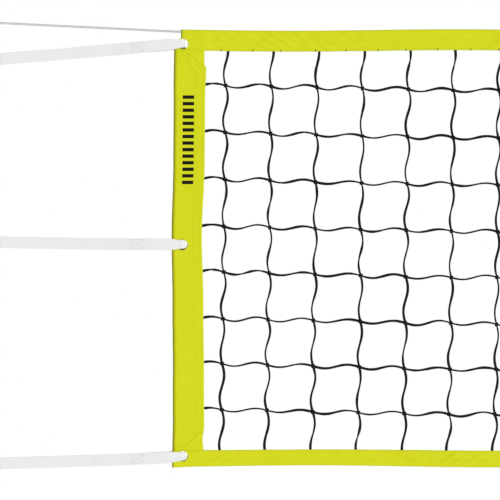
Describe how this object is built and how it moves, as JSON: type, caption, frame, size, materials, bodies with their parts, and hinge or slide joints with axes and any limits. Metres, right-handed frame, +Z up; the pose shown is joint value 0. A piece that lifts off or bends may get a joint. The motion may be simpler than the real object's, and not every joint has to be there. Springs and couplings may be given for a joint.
{
  "type": "volleyball net",
  "caption": "Full-length volleyball net: knotted mesh in a taped border, headline cable with an eye at each end, and webbing straps with rings looped through corner and mid-height eyelets.",
  "frame": {"origin": "centre of the left headline eye, in the net's mid-plane", "axes": "+X along the net to its right end, +Y to the far face, +Z up"},
  "size_m": [10.6928, 0.014, 1.0047],
  "materials": {
    "tape": "coated, semi-gloss",
    "netting": "braided, matte",
    "webbing": "woven, matte",
    "line": "twisted, matte",
    "cable": "stranded wire in a clear grey coat",
    "fittings": "plated",
    "eyelet": "satin"
  },
  "bodies": {
    "net": {"headline_cable": "cable", "headline_eye_left": "cable", "headline_eye_right": "cable", "headline_thimble_left": "fittings", "headline_thimble_right": "fittings", "headline_ferrule_left": "fittings", "headline_ferrule_right": "fittings", "top_tape": "tape", "bottom_tape": "tape", "side_tape_left": "tape", "side_tape_right": "tape", "corner_patch_top_left": "tape", "corner_patch_top_right": "tape", "corner_patch_bottom_left": "tape", "corner_patch_bottom_right": "tape", "netting": "netting", "bottom_line": "line", "eyelets_left": "eyelet", "eyelets_right": "eyelet", "eyelet_washers_left": "eyelet", "eyelet_washers_right": "eyelet"},
    "strap_top_left": {"strap_top_left": "webbing"},
    "ring_top_left": {"ring_top_left": "fittings"},
    "strap_mid_left": {"strap_mid_left": "webbing"},
    "ring_mid_left": {"ring_mid_left": "fittings"},
    "strap_bottom_left": {"strap_bottom_left": "webbing"},
    "ring_bottom_left": {"ring_bottom_left": "fittings"},
    "strap_top_right": {"strap_top_right": "webbing"},
    "ring_top_right": {"ring_top_right": "fittings"},
    "strap_mid_right": {"strap_mid_right": "webbing"},
    "ring_mid_right": {"ring_mid_right": "fittings"},
    "strap_bottom_right": {"strap_bottom_right": "webbing"},
    "ring_bottom_right": {"ring_bottom_right": "fittings"}
  },
  "joints": [
    {"name": "strap_top_left_swing", "type": "hinge", "parent": "net", "child": "strap_top_left", "pos_m": [0.477, 0, -0.04871], "axis": [0, 1, 0], "range_deg": [-45, 6]},
    {"name": "ring_top_left_turn", "type": "hinge", "parent": "strap_top_left", "child": "ring_top_left", "pos_m": [0.02758, 0, -0.08645], "axis": [-0.0837, 0, 0.9965], "range_deg": [-85, 85]},
    {"name": "strap_mid_left_swing", "type": "hinge", "parent": "net", "child": "strap_mid_left", "pos_m": [0.477, 0, -0.49091], "axis": [0, 1, 0], "range_deg": [-45, 45]},
    {"name": "ring_mid_left_turn", "type": "hinge", "parent": "strap_mid_left", "child": "ring_mid_left", "pos_m": [0.02604, 0, -0.48461], "axis": [0.014, 0, 0.9999], "range_deg": [-85, 85]},
    {"name": "strap_bottom_left_swing", "type": "hinge", "parent": "net", "child": "strap_bottom_left", "pos_m": [0.477, 0, -0.95621], "axis": [0, 1, 0], "range_deg": [-45, 45]},
    {"name": "ring_bottom_left_turn", "type": "hinge", "parent": "strap_bottom_left", "child": "ring_bottom_left", "pos_m": [0.02633, 0, -0.97352], "axis": [-0.0384, 0, 0.9993], "range_deg": [-85, 85]},
    {"name": "strap_top_right_swing", "type": "hinge", "parent": "net", "child": "strap_top_right", "pos_m": [10.189, 0, -0.04871], "axis": [0, -1, 0], "range_deg": [-45, 6]},
    {"name": "ring_top_right_turn", "type": "hinge", "parent": "strap_top_right", "child": "ring_top_right", "pos_m": [10.63842, 0, -0.08645], "axis": [0.0837, 0, 0.9965], "range_deg": [-85, 85]},
    {"name": "strap_mid_right_swing", "type": "hinge", "parent": "net", "child": "strap_mid_right", "pos_m": [10.189, 0, -0.49091], "axis": [0, -1, 0], "range_deg": [-45, 45]},
    {"name": "ring_mid_right_turn", "type": "hinge", "parent": "strap_mid_right", "child": "ring_mid_right", "pos_m": [10.63996, 0, -0.48461], "axis": [-0.014, 0, 0.9999], "range_deg": [-85, 85]},
    {"name": "strap_bottom_right_swing", "type": "hinge", "parent": "net", "child": "strap_bottom_right", "pos_m": [10.189, 0, -0.95621], "axis": [0, -1, 0], "range_deg": [-45, 45]},
    {"name": "ring_bottom_right_turn", "type": "hinge", "parent": "strap_bottom_right", "child": "ring_bottom_right", "pos_m": [10.63967, 0, -0.97352], "axis": [0.0384, 0, 0.9993], "range_deg": [-85, 85]}
  ]
}
